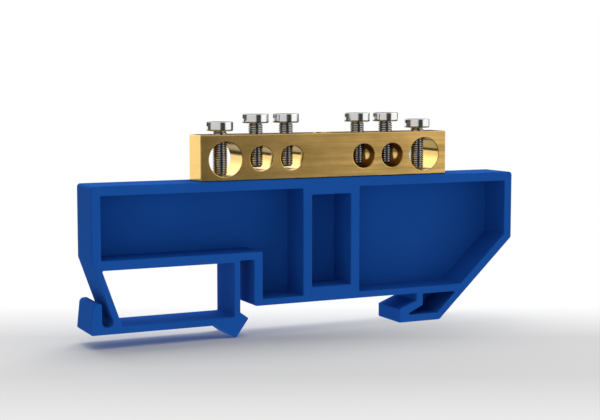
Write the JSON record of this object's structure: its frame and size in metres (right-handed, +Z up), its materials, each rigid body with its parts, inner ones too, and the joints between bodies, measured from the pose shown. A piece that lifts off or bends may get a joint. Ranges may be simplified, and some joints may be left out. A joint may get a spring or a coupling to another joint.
{
  "type": "neutral terminal bar",
  "caption": "Brass neutral terminal bar with cross holes and slotted clamp screws, on a blue moulded holder with a hook and a spring latch for a top-hat rail.",
  "frame": {"origin": "middle of the overall length and depth, at the level of the hook's underside", "axes": "+X along the bar towards the hook end, +Y from the open front of the pockets to the closed back, +Z up from the rail to the screw heads"},
  "size_m": [0.0835, 0.0082, 0.0389],
  "materials": {
    "holder_plastic": "moulded satin blue plastic",
    "bar_brass": "drawn and brushed brass",
    "screw_steel": "bright zinc-plated steel"
  },
  "bodies": {
    "base": {"holder": "holder_plastic", "terminal_bar": "bar_brass", "fixing_screw": "screw_steel"},
    "screw_1": {"clamp_screw_1": "screw_steel"},
    "screw_2": {"clamp_screw_2": "screw_steel"},
    "screw_3": {"clamp_screw_3": "screw_steel"},
    "screw_4": {"clamp_screw_4": "screw_steel"},
    "screw_5": {"clamp_screw_5": "screw_steel"},
    "screw_6": {"clamp_screw_6": "screw_steel"}
  },
  "joints": [
    {"name": "screw_1_lift", "type": "slide", "parent": "base", "child": "screw_1", "axis": [0, 0, 1], "range_m": [0, 0.0061]},
    {"name": "screw_2_lift", "type": "slide", "parent": "base", "child": "screw_2", "axis": [0, 0, 1], "range_m": [0, 0.004]},
    {"name": "screw_3_lift", "type": "slide", "parent": "base", "child": "screw_3", "axis": [0, 0, 1], "range_m": [0, 0.004]},
    {"name": "screw_4_lift", "type": "slide", "parent": "base", "child": "screw_4", "axis": [0, 0, 1], "range_m": [0, 0.004]},
    {"name": "screw_5_lift", "type": "slide", "parent": "base", "child": "screw_5", "axis": [0, 0, 1], "range_m": [0, 0.004]},
    {"name": "screw_6_lift", "type": "slide", "parent": "base", "child": "screw_6", "axis": [0, 0, 1], "range_m": [0, 0.0061]}
  ]
}
